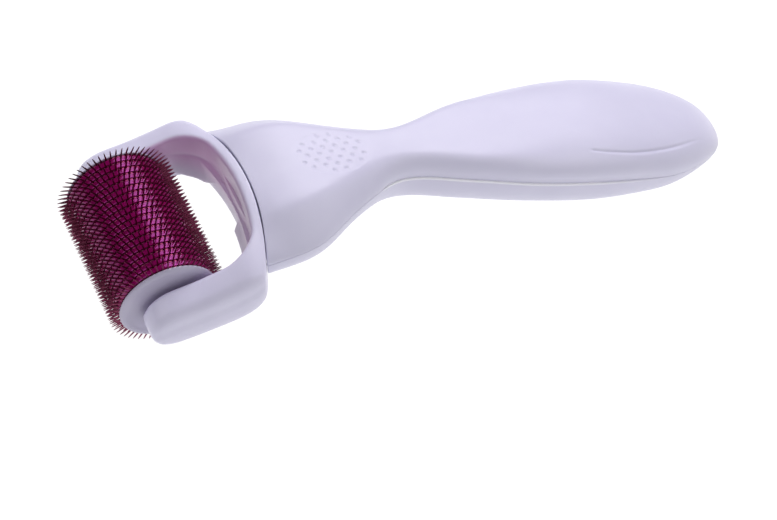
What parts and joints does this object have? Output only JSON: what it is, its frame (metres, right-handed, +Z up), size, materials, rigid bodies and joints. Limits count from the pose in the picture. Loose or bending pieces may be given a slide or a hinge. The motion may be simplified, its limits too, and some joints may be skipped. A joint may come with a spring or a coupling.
{
  "type": "derma roller",
  "caption": "Hand-held skin roller: a needle drum that spins in a removable fork head, on a curved two-shell handle.",
  "frame": {"origin": "on the surface the roller lies on, under the middle of its bounding box", "axes": "+X from the drum to the tail of the handle, +Y along the drum's axis to the far side, +Z up; the roller rests on its lowest needle tips and on the tail"},
  "size_m": [0.154, 0.047, 0.0292],
  "materials": {
    "handle_plastic": "satin white moulded plastic with a lavender cast",
    "fork_plastic": "satin white moulded plastic with a lavender cast",
    "cap_plastic": "satin grey-white moulded plastic",
    "drum_plastic": "glossy deep magenta plastic",
    "needle_steel": "bright etched stainless steel",
    "axle_steel": "drawn stainless steel"
  },
  "bodies": {
    "drum": {"drum_core": "drum_plastic", "needle_disc_01": "needle_steel", "needle_disc_02": "needle_steel", "needle_disc_03": "needle_steel", "needle_disc_04": "needle_steel", "needle_disc_05": "needle_steel", "needle_disc_06": "needle_steel", "needle_disc_07": "needle_steel", "needle_disc_08": "needle_steel", "needle_disc_09": "needle_steel", "needle_disc_10": "needle_steel", "needle_disc_11": "needle_steel", "needle_disc_12": "needle_steel", "needle_disc_13": "needle_steel", "needle_disc_14": "needle_steel", "needle_disc_15": "needle_steel", "needle_disc_16": "needle_steel", "needle_disc_17": "needle_steel", "needle_disc_18": "needle_steel", "needle_disc_19": "needle_steel", "needle_disc_20": "needle_steel", "spacer_ring_01": "drum_plastic", "spacer_ring_02": "drum_plastic", "spacer_ring_03": "drum_plastic", "spacer_ring_04": "drum_plastic", "spacer_ring_05": "drum_plastic", "spacer_ring_06": "drum_plastic", "spacer_ring_07": "drum_plastic", "spacer_ring_08": "drum_plastic", "spacer_ring_09": "drum_plastic", "spacer_ring_10": "drum_plastic", "spacer_ring_11": "drum_plastic", "spacer_ring_12": "drum_plastic", "spacer_ring_13": "drum_plastic", "spacer_ring_14": "drum_plastic", "spacer_ring_15": "drum_plastic", "spacer_ring_16": "drum_plastic", "spacer_ring_17": "drum_plastic", "spacer_ring_18": "drum_plastic", "spacer_ring_19": "drum_plastic", "end_cap_near": "cap_plastic", "end_cap_far": "cap_plastic"},
    "head": {"fork": "fork_plastic", "axle_pin": "axle_steel"},
    "handle": {"handle_upper_shell": "handle_plastic", "handle_lower_shell": "handle_plastic", "socket_sleeve": "handle_plastic"}
  },
  "joints": [
    {"name": "head_release", "type": "slide", "parent": "handle", "child": "head", "axis": [-0.9788, 0, -0.2047], "range_m": [0, 0.02]},
    {"name": "drum_spin", "type": "hinge", "parent": "head", "child": "drum", "pos_m": [-0.06423, 0, 0.0128], "axis": [0, 1, 0], "continuous": true}
  ]
}
